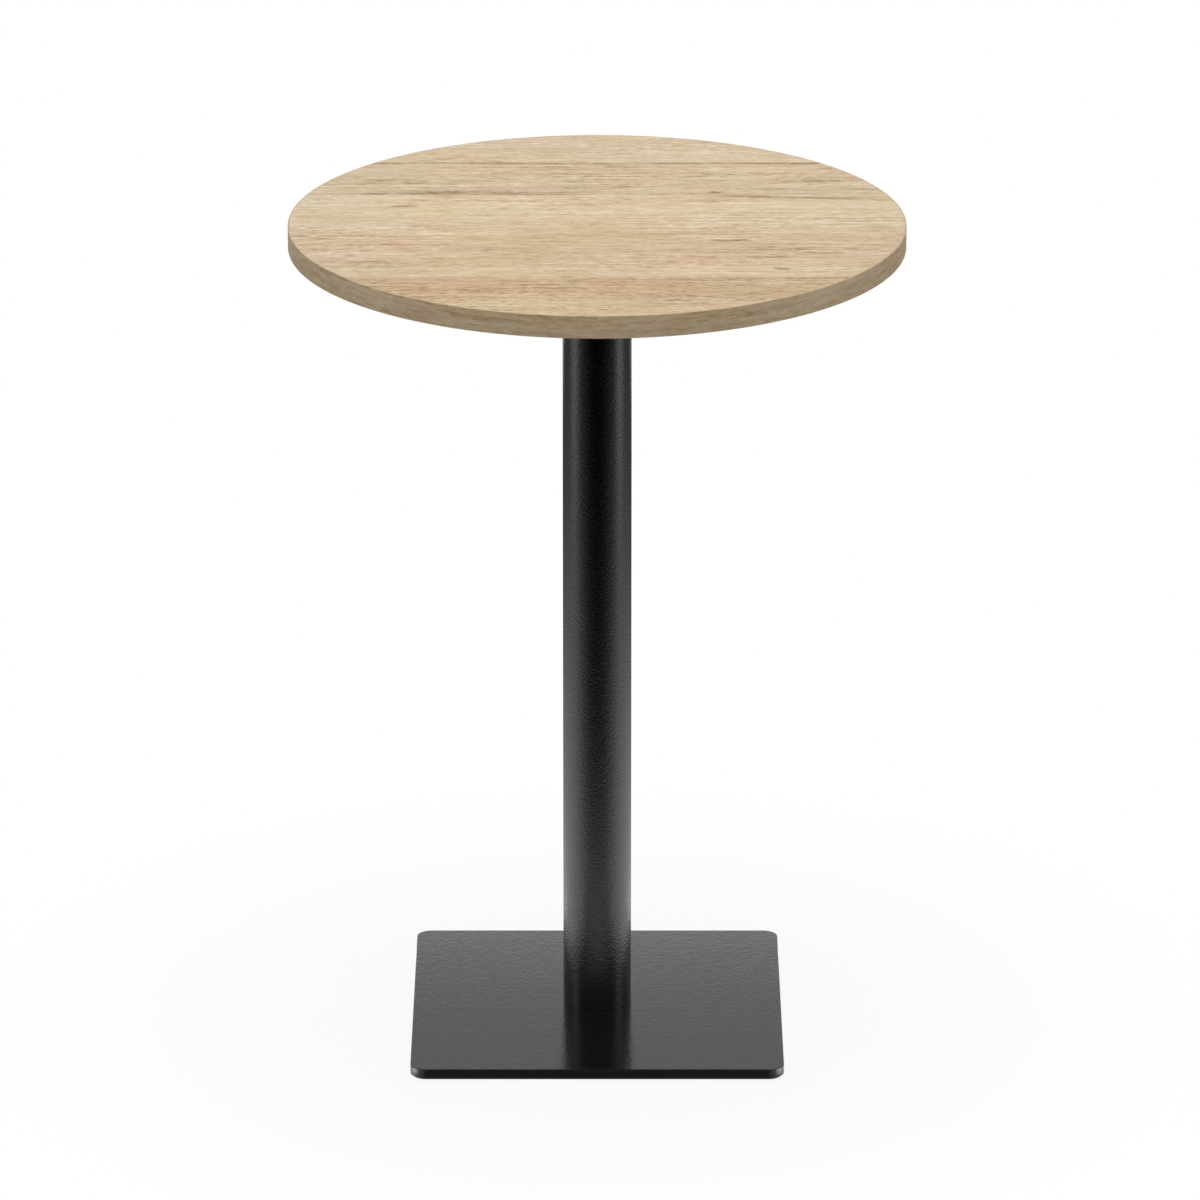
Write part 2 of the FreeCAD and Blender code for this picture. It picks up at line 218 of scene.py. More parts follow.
# print on the decor sheet, with the grain along x and the places across it in metres, front to back
sheetPrint = {
    "half": 0.4, "roughness": 0.50, "poreRough": 0.12, "streakRelief": 0.5,
    "tones": [   # place and tone: a step at each plank joint
        (-0.400, 0.46), (-0.340, 0.46), (-0.322, 0.33), (-0.2375, 0.30),
        (-0.2365, 0.55), (-0.190, 0.54), (-0.165, 0.45), (-0.080, 0.45), (-0.045, 0.58),
        (0.1220, 0.70), (0.1230, 0.44), (0.150, 0.53), (0.2690, 0.55),
        (0.2700, 0.64), (0.400, 0.60),
    ],
    "blush": [   # place and how rosy the print is there
        (-0.340, 0.44), (-0.322, 0.90), (-0.2375, 0.90), (-0.2365, 0.46), (-0.190, 0.48),
        (-0.165, 0.66), (-0.080, 0.66), (-0.045, 0.48), (0.122, 0.40), (0.150, 0.42), (0.400, 0.40),
    ],
    "chill": [   # place and how ashen
        (-0.400, 0.30), (-0.2375, 0.30), (-0.2365, 0.44), (0.122, 0.54), (0.400, 0.70),
    ],
    "pale": {"from": 0.22, "to": 0.37, "blush": -0.22, "chill": 0.28},   # paler to the left and right
    "hueSwing": 1.7, "blushSize": (5, 16, 1), "chillSize": (3.4, 11, 1),
    "green": (0.976, 1.006, 0.985, 1), "rose": (1.036, 0.968, 0.985, 1),
    "straw": (1.004, 1, 0.905, 1), "ash": (0.996, 1, 1.095, 1),
    "joints": [-0.2370, 0.1225, 0.2695], "jointWidth": 0.001,
    "plankStep": 2.7,   # how far apart in the noise two planks lie, so that their grain differs
    "wander": 0.005, "wanderSize": (4, 1.5, 1),
    "lean": {"from": 0.03, "slope": 0.075, "reach": 0.06},   # the middle joint drifts on the right
}


# dark marks in the print
sheetMarks = {
    "poreDepth": 0.25,
    "grooves": [   # along the joints: across, tail to the front, tail to the back, from, to, depth
        (0.2695, 0.014, 0.001, -0.60, 0.60, 0.50),
        (0.1225, 0.001, 0.026, -0.34, 0.02, 0.34),
        (0.1360, 0.003, 0.006, -0.28, -0.13, 0.62),
        (0.1225, 0.001, 0.018, 0.13, 0.42, 0.26),
        (0.1290, 0.003, 0.003, 0.14, 0.42, 0.24),
        (-0.2370, 0.008, 0.001, 0.20, 0.42, 0.34),
    ],
    "grooveEnd": 0.08,   # length over which a groove fades in and out
    "brokenSize": (16, 30, 1), "brokenRange": (0.30, 0.60), "faintest": 0.55,   # how the grooves break up
    "flecks": [   # short marks: along, across, half length, half width, depth
        (-0.250, 0.074, 0.022, 0.0045, 0.70),
        (0.155, 0.135, 0.011, 0.0050, 0.75),
        (0.172, -0.077, 0.032, 0.0045, 0.55),
        (0.233, -0.201, 0.011, 0.0050, 0.80),
        (0.098, -0.333, 0.020, 0.0045, 0.50),
        (0.300, 0.245, 0.016, 0.0040, 0.45),
    ],
    "raggedAlong": 0.030, "raggedAlongSize": (55, 210, 1),
    "raggedAcross": 0.012, "raggedAcrossSize": (75, 60, 1),
}


def marksOf(place, x, y, across, pores):
    plan = sheetMarks
    end = plan["grooveEnd"]
    broken = fade(noise(place, plan["brokenSize"]), *plan["brokenRange"], plan["faintest"], 1)
    marks = plan["poreDepth"] * pores
    for joint, front, back, first, last, depth in plan["grooves"]:
        line = fade(across, joint - front, joint) * fade(across, joint + back, joint)
        marks = marks + depth * line * broken * fade(x, first, first + end) * fade(x, last, last - end)
    raggedX = x + plan["raggedAlong"] * swing(noise(place, plan["raggedAlongSize"]))
    raggedY = y + plan["raggedAcross"] * swing(noise(place, plan["raggedAcrossSize"]))
    for along, at, length, width, depth in plan["flecks"]:
        off = (raggedX - along) / length
        side = (raggedY - at) / width
        marks = marks + depth * fade(off * off + side * side, 1, 0)
    return marks


def oakSheetFinish():
    plan = sheetPrint
    material, shader, place = newFinish("oakSheet", {"Specular IOR Level": oakGrain["shine"]})
    x, y = split(place, "XY")
    lean = plan["lean"]
    drift = lean["slope"] * atLeast(x - lean["from"], 0)
    nearJoint = fade(size(y - plan["joints"][1]), lean["reach"], lean["reach"] / 2)
    across = y + plan["wander"] * swing(noise(place, plan["wanderSize"])) + drift * nearJoint
    gap = plan["jointWidth"] / 2
    steps = [plan["plankStep"] * fade(across, joint - gap, joint + gap) for joint in plan["joints"]]
    streaks, pores = grainOf(x, y, sum(steps))
    half = plan["half"]
    spread = (across + half) / (2 * half)
    bands = {}
    for name in ("tones", "blush", "chill"):
        bands[name] = greyRamp(spread, [((at + half) / (2 * half), level) for at, level in plan[name]])
    tone = bands["tones"] + streaks - marksOf(place, x, y, across, pores)
    pale = plan["pale"]
    atEnds = fade(size(x), pale["from"], pale["to"])
    stray = plan["hueSwing"]
    blush = bands["blush"] + stray * swing(noise(place, plan["blushSize"])) + pale["blush"] * atEnds
    chill = bands["chill"] + stray * swing(noise(place, plan["chillSize"])) + pale["chill"] * atEnds
    colour = times(colourRamp(tone, oakTones), tint(blush, plan["green"], plan["rose"]))
    colour = times(colour, tint(chill, plan["straw"], plan["ash"]))
    rough = plan["roughness"] + oakGrain["streakRough"] * streaks + plan["poreRough"] * pores
    relief = bump(plan["streakRelief"] * streaks - pores, oakGrain["relief"])
    feed(shader, {"Base Color": colour, "Roughness": rough, "Normal": relief})
    return material


stripPrint = {
    "radius": 0.4, "tone": 0.44, "plank": 9.3, "roughness": 0.52,
    "streakShare": 0.55, "poreShare": 0.20, "driftShare": 0.20, "driftSize": (5, 5, 40),
}


def oakStripFinish():
    plan = stripPrint
    material, shader, place = newFinish("oakStrip", {"Specular IOR Level": oakGrain["shine"]})
    x, y, z = split(place, "XYZ")
    along = plan["radius"] * x.math("ARCTAN2", x, y)
    streaks, pores = grainOf(along, z, plan["plank"])
    drift = plan["driftShare"] * swing(noise(place, plan["driftSize"]))
    tone = plan["tone"] + plan["streakShare"] * streaks + drift - plan["poreShare"] * pores
    colour = colourRamp(tone, oakTones)
    rough = plan["roughness"] + oakGrain["streakRough"] * streaks
    relief = bump(streaks - pores, oakGrain["relief"])
    feed(shader, {"Base Color": colour, "Roughness": rough, "Normal": relief})
    return material


# black coats: orange peel on the tube's powder coat, smoother on the plate, dull on the casting
coats = {
    "tubeCoat": {
        "base": 0.0006, "speck": 0.0022, "shine": 1.0, "roughness": 0.26,
        "peel": 330, "height": 0.00046, "wave": 90, "waveHeight": 0.00008},
    "plateCoat": {
        "base": 0.0010, "speck": 0.0030, "shine": 0.5, "roughness": 0.14,
        "peel": 420, "height": 0.00010, "wave": 150, "waveHeight": 0.00017},
    "castCoat": {
        "base": 0.0080, "speck": 0.016, "shine": 0.5, "roughness": 0.55,
        "peel": 420, "height": 0.00025, "wave": 60, "waveHeight": 0.00040},
}
anyCoat = {   # the same on all three
    "peelRoughness": 0.55, "speckRange": (0.52, 0.72), "waveRough": 0.08, "peelRough": 0.10,
}


def coatFinish(name):
    coat = coats[name]
    material, shader, place = newFinish(name, {"Specular IOR Level": coat["shine"]})
    peel = noise(place, even(coat["peel"]), roughness=anyCoat["peelRoughness"])
    wave = noise(place, even(coat["wave"]))
    colour = tint(fade(peel, *anyCoat["speckRange"]), grey(coat["base"]), grey(coat["speck"]))
    rough = coat["roughness"] + anyCoat["waveRough"] * swing(wave) + anyCoat["peelRough"] * swing(peel)
    relief = bump(coat["height"] * peel + coat["waveHeight"] * wave, 1)   # the heights are in metres
    feed(shader, {"Base Color": colour, "Roughness": rough, "Normal": relief})
    return material


zinc = {
    "bright": (0.62, 0.63, 0.65, 1), "dull": (0.42, 0.43, 0.46, 1), "roughness": 0.30,
    "spangleSize": even(140), "spangleRange": (0.35, 0.65), "spangleRough": 0.22,
    "scratchSize": (900, 900, 90), "scratchRough": 0.12, "relief": 0.00002,
}


def zincFinish():
    material, shader, place = newFinish("zincPlate", {"Metallic": 1.0})
    spangle = noise(place, zinc["spangleSize"], detail=3)
    scratch = noise(place, zinc["scratchSize"])
    colour = tint(fade(spangle, *zinc["spangleRange"]), zinc["dull"], zinc["bright"])
    rough = zinc["roughness"] + zinc["spangleRough"] * swing(spangle)
    rough = rough + zinc["scratchRough"] * swing(scratch)
    feed(shader, {"Base Color": colour, "Roughness": rough, "Normal": bump(scratch, zinc["relief"])})
    return material


plastic = {
    "base": 0.012, "worn": 0.030, "shine": 0.45, "roughness": 0.48,
    "pebbleSize": even(1600), "pebbleRough": 0.10, "relief": 0.00004,
    "scuffSize": even(160), "scuffRange": (0.55, 0.75), "scuffRough": 0.15,
}


def plasticFinish():
    material, shader, place = newFinish("blackPlastic", {"Specular IOR Level": plastic["shine"]})
    pebble = noise(place, plastic["pebbleSize"])
    scuff = fade(noise(place, plastic["scuffSize"], detail=3), *plastic["scuffRange"])
    colour = tint(scuff, grey(plastic["base"]), grey(plastic["worn"]))
    rough = plastic["roughness"] + plastic["scuffRough"] * scuff + plastic["pebbleRough"] * swing(pebble)
    feed(shader, {"Base Color": colour, "Roughness": rough, "Normal": bump(pebble, plastic["relief"])})
    return material


chipboard = {
    "pale": (0.62, 0.47, 0.30, 1), "dark": (0.34, 0.22, 0.12, 1), "shine": 0.2, "roughness": 0.82,
    "chipSize": (320, 320, 960), "chipShare": 0.75, "relief": 0.0002,
    "dustSize": even(1500), "dustShare": 0.25, "dustRough": 0.10,
}


def chipboardFinish():
    board = chipboard
    material, shader, place = newFinish("chipboard", {"Specular IOR Level": board["shine"]})
    cells = {"Vector": times(place, board["chipSize"]), "Scale": 1}
    chip = split(place.node("TexVoronoi", {}, cells, "Color"), "X")[0]
    dust = noise(place, board["dustSize"])
    colour = tint(board["chipShare"] * chip + board["dustShare"] * dust, board["dark"], board["pale"])
    rough = board["roughness"] + board["dustRough"] * swing(dust)
    feed(shader, {"Base Color": colour, "Roughness": rough, "Normal": bump(chip, board["relief"])})
    return material


finishes = {
    "oakSheet": oakSheetFinish(),
    "oakStrip": oakStripFinish(),
    "tubeCoat": coatFinish("tubeCoat"),
    "plateCoat": coatFinish("plateCoat"),
    "castCoat": coatFinish("castCoat"),
    "zinc": zincFinish(),
    "plastic": plasticFinish(),
    "chipboard": chipboardFinish(),
}
print("finishes made:", ", ".join(finishes))


# modelling helpers
tolerance = 1e-6   # metres: points that are closer count as one
meshParts = ("vertices", "edges", "polygons")


def leaveEdit():
    if bpy.context.mode != "OBJECT":
        bpy.ops.object.mode_set(mode="OBJECT")


def deselectAll():
    leaveEdit()
    bpy.ops.object.select_all(action="DESELECT")


def takeUp(piece):
    deselectAll()
    piece.select_set(True)
    bpy.context.view_layer.objects.active = piece


def editAll():
    bpy.ops.object.mode_set(mode="EDIT")
    bpy.ops.mesh.select_all(action="SELECT")


def turnOutwards():
    bpy.ops.mesh.select_all(action="SELECT")
    bpy.ops.mesh.normals_make_consistent(inside=False)


def named(name):
    piece = bpy.context.active_object
    piece.name = name
    piece.data.name = name
    return piece


def pick(piece, kind, wanted):
    leaveEdit()
    for name in meshParts:
        for part in getattr(piece.data, name):
            part.select = name == kind and wanted(part)
    bpy.context.tool_settings.mesh_select_mode = [name == kind for name in meshParts]
    bpy.ops.object.mode_set(mode="EDIT")


def endsOf(piece, edge):
    return [piece.data.vertices[index].co for index in edge.vertices]


def isLevel(piece, edge, height):
    return all(abs(point.z - height) < tolerance for point in endsOf(piece, edge))


def isUpright(piece, edge):
    first, second = endsOf(piece, edge)
    return (first - second).xy.length < tolerance


def centreOf(node):
    low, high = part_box(node)
    return (low.x + high.x) / 2, (low.y + high.y) / 2


def settle(piece, crease=12):   # a low crease angle keeps eased edges crisp, so flat faces shade true
    takeUp(piece)
    bpy.ops.object.transform_apply(location=True, rotation=True, scale=True)
    bpy.ops.object.shade_smooth_by_angle(angle=math.radians(crease))


def combine(piece, other, operation):
    bpy.context.view_layer.objects.active = piece
    step = piece.modifiers.new("combine", "BOOLEAN")
    step.operation = operation
    step.object = other
    bpy.ops.object.modifier_apply(modifier="combine")
    bpy.data.objects.remove(other)


def dress(piece, finish, body, slot, *nodes):
    piece.data.materials.clear()
    piece.data.materials.append(finishes[finish])
    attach(piece, body)
    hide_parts(*nodes)


# decor sheet on the upper face
sheetShape = {"sides": 360, "ease": 0.00012, "easeSteps": 2}


def modelSheet():
    shape = sheetShape
    low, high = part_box("table_top_laminate")
    middle = (0, 0, (low.z + high.z) / 2)
    deselectAll()
    bpy.ops.mesh.primitive_cylinder_add(
        vertices=shape["sides"], radius=high.x, depth=high.z - low.z, location=middle)
    piece = named("decorSheet")
    settle(piece)
    pick(piece, "edges", lambda edge: isLevel(piece, edge, high.z))
    bpy.ops.mesh.bevel(offset=shape["ease"], segments=shape["easeSteps"])   # at the joint with the strip
    settle(piece)
    dress(piece, "oakSheet", "table", "oak_decor", "table_top_laminate")
    print("decor sheet modelled")


# strip bent round the rim, with its butt seam at the back
stripShape = {"steps": 360, "thickness": 0.002, "edgeRadius": 0.001, "edgeSteps": 5, "seam": 0.0003}


def modelStrip():
    shape = stripShape
    low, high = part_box("table_top_edge_band")
    radius = high.x
    seamAngle = shape["seam"] / radius
    middle = radius - shape["thickness"] / 2
    deselectAll()
    bpy.ops.mesh.primitive_plane_add(
        size=1, rotation=(0, math.pi / 2, 0), location=(0, middle, (low.z + high.z) / 2))
    piece = named("edgeStrip")
    bpy.ops.object.transform_apply(location=False, rotation=True, scale=False)
    piece.scale = (1, shape["thickness"], high.z - low.z)
    bpy.ops.object.transform_apply(location=True, rotation=True, scale=True)
    pick(piece, "vertices", lambda point: point.co.y > middle)
    bpy.ops.mesh.bevel(affect="VERTICES", offset=shape["edgeRadius"], segments=shape["edgeSteps"])
    bpy.ops.mesh.select_all(action="SELECT")
    bpy.ops.transform.rotate(value=seamAngle / 2, orient_axis="Z", center_override=(0, 0, 0))
    bpy.ops.mesh.spin(
        steps=shape["steps"], angle=2 * math.pi - seamAngle, center=(0, 0, 0), axis=(0, 0, 1))
    bpy.ops.mesh.select_all(action="SELECT")
    bpy.ops.mesh.remove_doubles(threshold=tolerance)
    turnOutwards()
    settle(piece)
    dress(piece, "oakStrip", "table", "oak_edge", "table_top_edge_band")
    print("edge strip modelled")


# column tube
tubeShape = {"sides": 256, "wall": 0.002, "ease": 0.0004, "easeSteps": 2}


def modelTube():
    shape = tubeShape
    low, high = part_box("column_tube")
    deselectAll()
    bpy.ops.mesh.primitive_circle_add(
        vertices=shape["sides"], radius=high.x, fill_type="NOTHING", location=(0, 0, low.z))
    piece = named("columnTube")
    settle(piece)
    editAll()
    bpy.ops.mesh.extrude_region_move(TRANSFORM_OT_translate={"value": (0, 0, high.z - low.z)})
    turnOutwards()
    leaveEdit()
    wall = piece.modifiers.new("wall", "SOLIDIFY")
    wall.thickness = shape["wall"]
    wall.offset = -1   # inwards
    wall.use_even_offset = True
    bpy.ops.object.modifier_apply(modifier="wall")
    pick(piece, "edges", lambda edge: any(isLevel(piece, edge, end) for end in (low.z, high.z)))
    bpy.ops.mesh.bevel(offset=shape["ease"], segments=shape["easeSteps"])
    settle(piece)
    dress(piece, "tubeCoat", "table", "black_powder_coat", "column_tube")
    print("column tube modelled")


# base plate
footCorners = ("front_left", "front_right", "rear_left", "rear_right")
plateShape = {
    "cornerRadius": 0.020, "cornerSteps": 20, "topRadius": 0.0008, "topSteps": 4, "bottomChamfer": 0.003,
    "seatRadius": 0.021, "seatDepth": 0.002, "threadRadius": 0.00505, "threadDepth": 0.0125,
    "pocketRadius": 0.015, "pocketDepth": 0.009, "rodRadius": 0.0065,
    "holeSides": 64, "spare": 0.001,   # a drill starts outside the plate by the spare length
}


def drill(piece, centre, radius, bottom, depth):
    spare = plateShape["spare"]
    deselectAll()
    bpy.ops.mesh.primitive_cylinder_add(
        vertices=plateShape["holeSides"], radius=radius, depth=depth + spare,
        location=(*centre, bottom + (depth - spare) / 2))
    combine(piece, bpy.context.active_object, "DIFFERENCE")


def modelPlate():
    shape = plateShape
    low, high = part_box("base_plate")
    deselectAll()
    bpy.ops.mesh.primitive_cube_add(size=1, location=(low + high) / 2, scale=high - low)
    piece = named("basePlate")
    settle(piece)
    pick(piece, "edges", lambda edge: isUpright(piece, edge))
    bpy.ops.mesh.bevel(offset=shape["cornerRadius"], segments=shape["cornerSteps"])
    pick(piece, "edges", lambda edge: isLevel(piece, edge, high.z))
    bpy.ops.mesh.bevel(offset=shape["topRadius"], segments=shape["topSteps"])
    pick(piece, "edges", lambda edge: isLevel(piece, edge, low.z))
    bpy.ops.mesh.bevel(offset=shape["bottomChamfer"], segments=1)   # flat
    settle(piece)
    for corner in footCorners:
        centre = centreOf("foot_pad_" + corner)
        drill(piece, centre, shape["seatRadius"], low.z, shape["seatDepth"])
        drill(piece, centre, shape["threadRadius"], low.z, shape["threadDepth"])
    drill(piece, (0, 0), shape["pocketRadius"], low.z, shape["pocketDepth"])
    drill(piece, (0, 0), shape["rodRadius"], low.z, high.z - low.z + 2 * shape["spare"])
    settle(piece)
    dress(piece, "plateCoat", "table", "black_powder_coat", "base_plate")
    print("base plate modelled")


# cast spider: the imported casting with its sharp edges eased; angles in degrees
spiderShape = {"flat": 1, "ease": 0.0008, "easeSteps": 2, "sharp": 40, "crease": 25}


def modelSpider():
    shape = spiderShape
    piece = bpy.data.objects.new("castSpider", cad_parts["top_spider"].data.copy())
    bpy.context.collection.objects.link(piece)
    takeUp(piece)
    editAll()
    bpy.ops.mesh.remove_doubles(threshold=tolerance)
    bpy.ops.mesh.dissolve_limited(angle_limit=math.radians(shape["flat"]))
    leaveEdit()
    ease = piece.modifiers.new("ease", "BEVEL")
    ease.width = shape["ease"]
    ease.segments = shape["easeSteps"]
    ease.limit_method = "ANGLE"
    ease.angle_limit = math.radians(shape["sharp"])
    bpy.ops.object.modifier_apply(modifier="ease")
    settle(piece, shape["crease"])
    dress(piece, "castCoat", "table", "black_casting", "top_spider")
    print("spider modelled")


# levelling feet: turned pads with grip rings, and studs with a real thread, both written in millimetres
perMetre = 1000
padShape = {
    "sides": 96,
    "section": [   # radius and height round the section
        (5.8, 0.15), (6.0, 0), (8.6, 0), (8.9, 0.5), (9.9, 0.5), (10.2, 0), (13.6, 0), (13.9, 0.5),
        (14.9, 0.5), (15.2, 0), (19.3, 0), (19.7, 0.12), (19.93, 0.4), (20, 0.7), (20, 3.4),
        (19.93, 3.65), (19.7, 3.9), (19.4, 4), (10.4, 4), (10.1, 3.7), (10.1, 2.5), (4.1, 2.5),
        (4.1, 1.3), (5.8, 1.3), (5.8, 0.15),
    ],
}
studShape = {
    "sides": 96,
    "section": [
        (0, 0.45), (5.1, 0.45), (5.3, 0.65), (5.3, 0.95), (5.1, 1.15), (4, 1.15), (4, 2.5),
        (9.7, 2.5), (10, 2.8), (10, 3.7), (9.7, 4), (4, 4), (0, 4),
    ],
    "thread": [(4.15, 0), (4.15, 0.19), (4.94, 0.66), (4.94, 0.84), (4.15, 1.31), (4.15, 1.5)],
    "pitch": 1.5, "turns": 9, "threadSides": 48, "threadFrom": 3.2, "threadTo": 14,
    "socketRadius": 2.31, "socketDepth": 5, "socketSides": 6,
    "cutTolerance": 1e-7, "mendTolerance": 2e-6,   # in metres
}


def drawLine(name, points):
    deselectAll()
    bpy.ops.mesh.primitive_plane_add(size=0.01)   # any size will do: only its first corner is kept
    piece = named(name)
    pick(piece, "vertices", lambda point: point.index > 0)
    bpy.ops.mesh.delete(type="VERT")
    leaveEdit()
    place = [(radius / perMetre, 0, height / perMetre) for radius, height in points]
    piece.data.vertices[0].co = place[0]
    pick(piece, "vertices", lambda point: True)
    for last, point in zip(place, place[1:]):
        step = [new - old for new, old in zip(point, last)]
        bpy.ops.mesh.extrude_vertices_move(TRANSFORM_OT_translate={"value": step})
    leaveEdit()
    return piece


def turnRound(piece, sides, pitch=0, turns=1):
    lathe = piece.modifiers.new("lathe", "SCREW")
    lathe.axis = "Z"
    lathe.steps = sides
    lathe.render_steps = sides
    lathe.screw_offset = pitch / perMetre
    lathe.iterations = turns
    lathe.use_merge_vertices = True
    lathe.merge_threshold = tolerance
    bpy.ops.object.modifier_apply(modifier="lathe")
    editAll()
    bpy.ops.mesh.remove_doubles(threshold=tolerance)
    turnOutwards()
    leaveEdit()


def cutLevel(height, above):
    editAll()
    bpy.ops.mesh.bisect(
        plane_co=(0, 0, height / perMetre), plane_no=(0, 0, 1), clear_outer=above, clear_inner=not above,
        threshold=studShape["cutTolerance"])
    bpy.ops.mesh.select_all(action="SELECT")
    bpy.ops.mesh.fill_holes(sides=0)
    turnOutwards()
    leaveEdit()


def modelPad():
    piece = drawLine("footPad", padShape["section"])
    turnRound(piece, padShape["sides"])
    return piece


def modelStud():
    shape = studShape
    thread = drawLine("thread", shape["thread"])
    turnRound(thread, shape["threadSides"], shape["pitch"], shape["turns"])
    cutLevel(shape["threadFrom"], False)
    cutLevel(shape["threadTo"], True)
    piece = drawLine("footStud", shape["section"])
    turnRound(piece, shape["sides"])
    combine(piece, thread, "UNION")
    low = shape["section"][0][1] / perMetre
    deep = shape["socketDepth"] / perMetre
    deselectAll()
    bpy.ops.mesh.primitive_cylinder_add(
        vertices=shape["socketSides"], radius=shape["socketRadius"] / perMetre, depth=2 * deep,
        location=(0, 0, low))   # half of it below the stud
    combine(piece, bpy.context.active_object, "DIFFERENCE")
    editAll()
    bpy.ops.mesh.remove_doubles(threshold=shape["mendTolerance"])
    bpy.ops.mesh.dissolve_degenerate(threshold=shape["mendTolerance"])
    bpy.ops.mesh.select_all(action="SELECT")
    bpy.ops.mesh.fill_holes(sides=0)
    leaveEdit()
    return piece


def standAt(pattern, name, node, finish, body, slot):
    piece = bpy.data.objects.new(name, pattern.data.copy())
    bpy.context.collection.objects.link(piece)
    piece.location = (*centreOf(node), 0)
    settle(piece)
    dress(piece, finish, body, slot, node)


def modelFeet():
    pad = modelPad()
    stud = modelStud()
    for corner in footCorners:
        standAt(
            pad, "footPad." + corner, "foot_pad_" + corner, "plastic", "pad_" + corner, "black_plastic")
        standAt(
            stud, "footStud." + corner, "foot_stud_" + corner, "zinc", "stud_" + corner, "zinc_steel")
    for pattern in (pad, stud):
        bpy.data.objects.remove(pattern)
    print("feet modelled:", len(footCorners))


modelSheet()
modelStrip()
modelTube()
modelPlate()
modelSpider()
modelFeet()


# CAD nodes whose shape is right keep it and get a finish
keptNodes = {
    "table_top_core": "chipboard", "table_top_backing": "oakSheet",
    "top_screws": "zinc", "tie_rod": "zinc", "base_spigot": "zinc",
    "rod_top_washer": "zinc", "rod_top_nut": "zinc",
    "rod_lock_washer": "zinc", "rod_lock_nut": "zinc",
    "rod_base_washer": "zinc", "rod_base_nut": "zinc",
}
for node, finish in keptNodes.items():
    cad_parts[node].data.materials.clear()
    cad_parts[node].data.materials.append(finishes[finish])
print("kept nodes dressed:", len(keptNodes))


# floor: white to the camera but for a soft shadow; to reflections a painted pool of light, glowing without
# a lamp; a plain card to the rest
floorPlan = {
    "radius": 12.0, "sides": 128, "albedo": 0.80,
    "shadow": {"share": 0.09, "from": 0.32, "to": 0.9},
    "reach": 3.0,   # metres that the two lists below cover: share of the way out, and how bright
    "front": [
        (0.10, 0.80), (0.14, 0.64), (0.20, 0.46), (0.27, 0.25), (0.38, 0.08), (0.50, 0.01), (1.0, 0.0)],
    "side": [
        (0.17, 1.4), (0.27, 1.20), (0.38, 1.05), (0.50, 0.75), (0.65, 0.42), (0.80, 0.26), (1.0, 0.16)],
    "fall": {"from": -0.2, "to": 0.4, "front": 3.0, "back": 1.5},   # how sharply the sides' light falls off
    "paintedContactShade": {"x": (0.25, 0.22), "y": (0.305, 0.285), "depth": 0.75},   # painted shade in the floor's glow, dim before and behind the plate
    "paintedGlint": {"x": 0.285, "y": 0.245, "reach": 0.036, "strength": 4.2},   # painted bright spots in the floor's glow beside the plate, which its corners catch as glints
    "covered": (0.225, 0.245), "under": 0.5,   # an even painted glimmer under the plate, for views from below
}


# painted light: how brightly the floor glows in reflections, with no lamp behind it
def lightOnFloor(place, away):
    plan = floorPlan
    x, y = split(place, "XY")
    fall = plan["fall"]
    sharpness = fade(y / away, fall["from"], fall["to"], fall["front"], fall["back"])
    sideways = size(x / away)
    front = greyRamp(away / plan["reach"], plan["front"])
    side = greyRamp(away / plan["reach"], plan["side"])
    pool = tint(sideways.math("POWER", sideways, sharpness), front, side)
    # painted shade: the floor's glow dimmed close before and behind the plate
    paintedContactShade = plan["paintedContactShade"]
    paintedShade = paintedContactShade["depth"] * fade(size(x), *paintedContactShade["x"]) * fade(size(y), *paintedContactShade["y"])
    # painted glints: bright spots in the floor's glow that the plate's corners reflect
    paintedGlint = plan["paintedGlint"]
    offX = size(x) - paintedGlint["x"]
    offY = size(y) - paintedGlint["y"]
    paintedGlintSpot = paintedGlint["strength"] * fade(offX * offX + offY * offY, paintedGlint["reach"] ** 2, 0)
    beyond = fade(atLeast(size(x), size(y)), *plan["covered"])
    return (pool * (1 - paintedShade) + paintedGlintSpot) * beyond + plan["under"] * (1 - beyond)


def makeFloor():
    plan = floorPlan
    deselectAll()
    bpy.ops.mesh.primitive_circle_add(vertices=plan["sides"], radius=plan["radius"], fill_type="NGON")
    piece = named("floor")
    settle(piece)
    material = bpy.data.materials.new("floorCard")
    material.use_nodes = True
    start = Socket(material.node_tree)
    place = start.node("TexCoord", {}, {}, "Object")
    away = place.node("VectorMath", {"operation": "LENGTH"}, {0: place}, "Value")
    isCamera = start.node("LightPath", {}, {}, "Is Camera Ray")
    isGlossy = start.node("LightPath", {}, {}, "Is Glossy Ray")
    fromBelow = start.node("NewGeometry", {}, {}, "Backfacing")
    shadow = fade(away, plan["shadow"]["from"], plan["shadow"]["to"], plan["shadow"]["share"], 0)
    card = start.node("BsdfDiffuse", {}, {"Color": grey(plan["albedo"])})
    strength = isCamera + isGlossy * lightOnFloor(place, away)
    glow = start.node("Emission", {}, {"Color": grey(1), "Strength": strength})
    seen = start.node("MixShader", {}, {0: isCamera * (1 - shadow) + isGlossy, 1: card, 2: glow})
    clear = start.node("BsdfTransparent")
    showAs(start.node("MixShader", {}, {0: fromBelow, 1: seen, 2: clear}), "Material Output")
    piece.data.materials.append(material)


# light: a pale room with a brighter backdrop, and four softboxes
studio = {
    "backdrop": 0.70, "from": -0.3, "to": 0.6,
    "room": 0.55, "roomFrom": 0.16, "roomTo": 0.36,   # height of the direction at which the room lightens
    "top": {"size": 2.6, "height": 3.0, "y": -0.2, "power": 27},
    "side": {"wide": 1.0, "high": 1.5, "x": 2.3, "y": -0.45, "z": 0.85, "power": 6},
    "back": {"wide": 2.6, "high": 0.3, "y": 1.7, "z": 0.45, "power": 2.0},
}


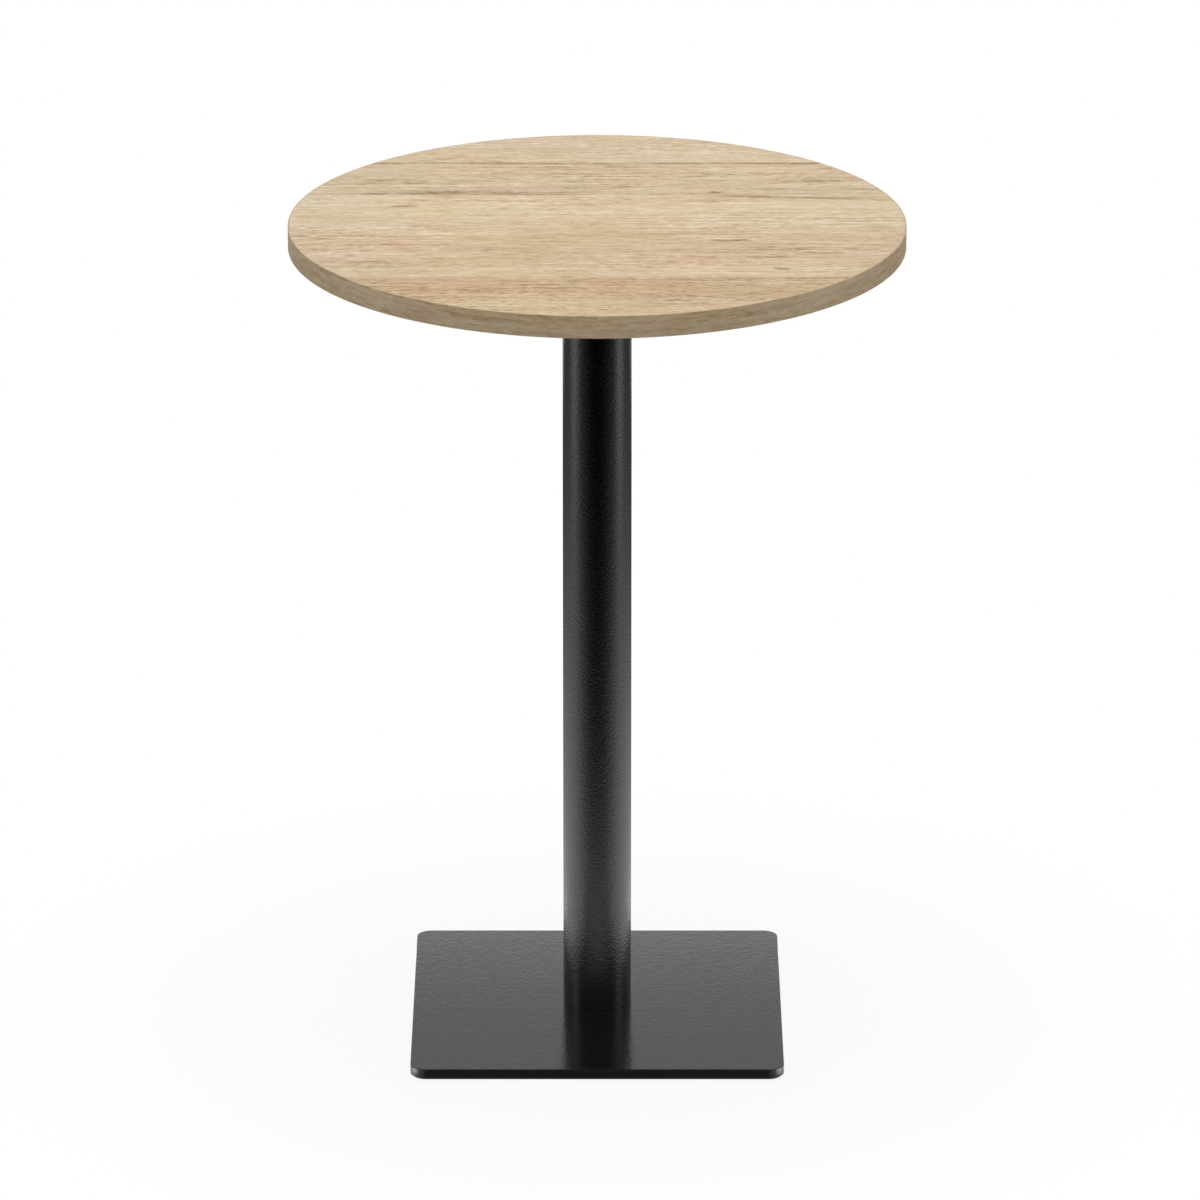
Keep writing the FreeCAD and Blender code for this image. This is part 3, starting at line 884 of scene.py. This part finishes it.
def makeWorld():
    world = bpy.data.worlds.new("studio")
    bpy.context.scene.world = world
    world.use_nodes = True
    start = Socket(world.node_tree)
    towards, up = split(start.node("TexCoord", {}, {}, "Generated"), "YZ")
    isCamera = start.node("LightPath", {}, {}, "Is Camera Ray")
    room = fade(up, studio["roomFrom"], studio["roomTo"], 0, studio["room"])
    room = room + (studio["backdrop"] - room) * fade(towards, studio["from"], studio["to"])
    level = room + isCamera * (1 - room)
    showAs(start.node("Background", {}, {"Color": grey(1), "Strength": level}), "World Output")


def addSoftbox(name, place, facing, wide, high, power):
    deselectAll()
    bpy.ops.object.light_add(type="AREA", location=place, rotation=facing)
    lamp = bpy.context.active_object
    lamp.name = name
    lamp.data.shape = "RECTANGLE"
    lamp.data.size = wide
    lamp.data.size_y = high
    lamp.data.energy = power
    lamp.visible_camera = False
    return lamp


def makeLights():
    top = studio["top"]
    place = (0, top["y"], top["height"])
    addSoftbox("topSoftbox", place, (0, 0, 0), top["size"], top["size"], top["power"])
    side = studio["side"]
    for name, sign in (("leftSoftbox", -1), ("rightSoftbox", 1)):
        place = (sign * side["x"], side["y"], side["z"])
        facing = (math.pi / 2, 0, math.atan2(sign * side["x"], -side["y"]))
        lamp = addSoftbox(name, place, facing, side["wide"], side["high"], side["power"])
        lamp.visible_diffuse = False   # only for the shine on black steel
    back = studio["back"]
    place = (0, back["y"], back["z"])
    facing = (math.pi / 2, 0, math.pi)
    addSoftbox("backSoftbox", place, facing, back["wide"], back["high"], back["power"])


# camera at the photograph's angle; the frame is square
lens = {"place": (0.0037, -10.47, 4.3058), "pitch": 19.579, "fieldOfView": 8.1128, "clipEnd": 100}


def makeCamera():
    deselectAll()
    bpy.ops.object.camera_add(
        location=lens["place"], rotation=(math.radians(90 - lens["pitch"]), 0, 0))
    camera = bpy.context.active_object
    camera.data.sensor_fit = "HORIZONTAL"
    camera.data.lens_unit = "FOV"
    camera.data.angle = math.radians(lens["fieldOfView"])
    camera.data.clip_end = lens["clipEnd"]
    bpy.context.scene.camera = camera


makeFloor()
makeWorld()
makeLights()
makeCamera()
bpy.context.scene.view_settings.view_transform = "Standard"
print("studio set")
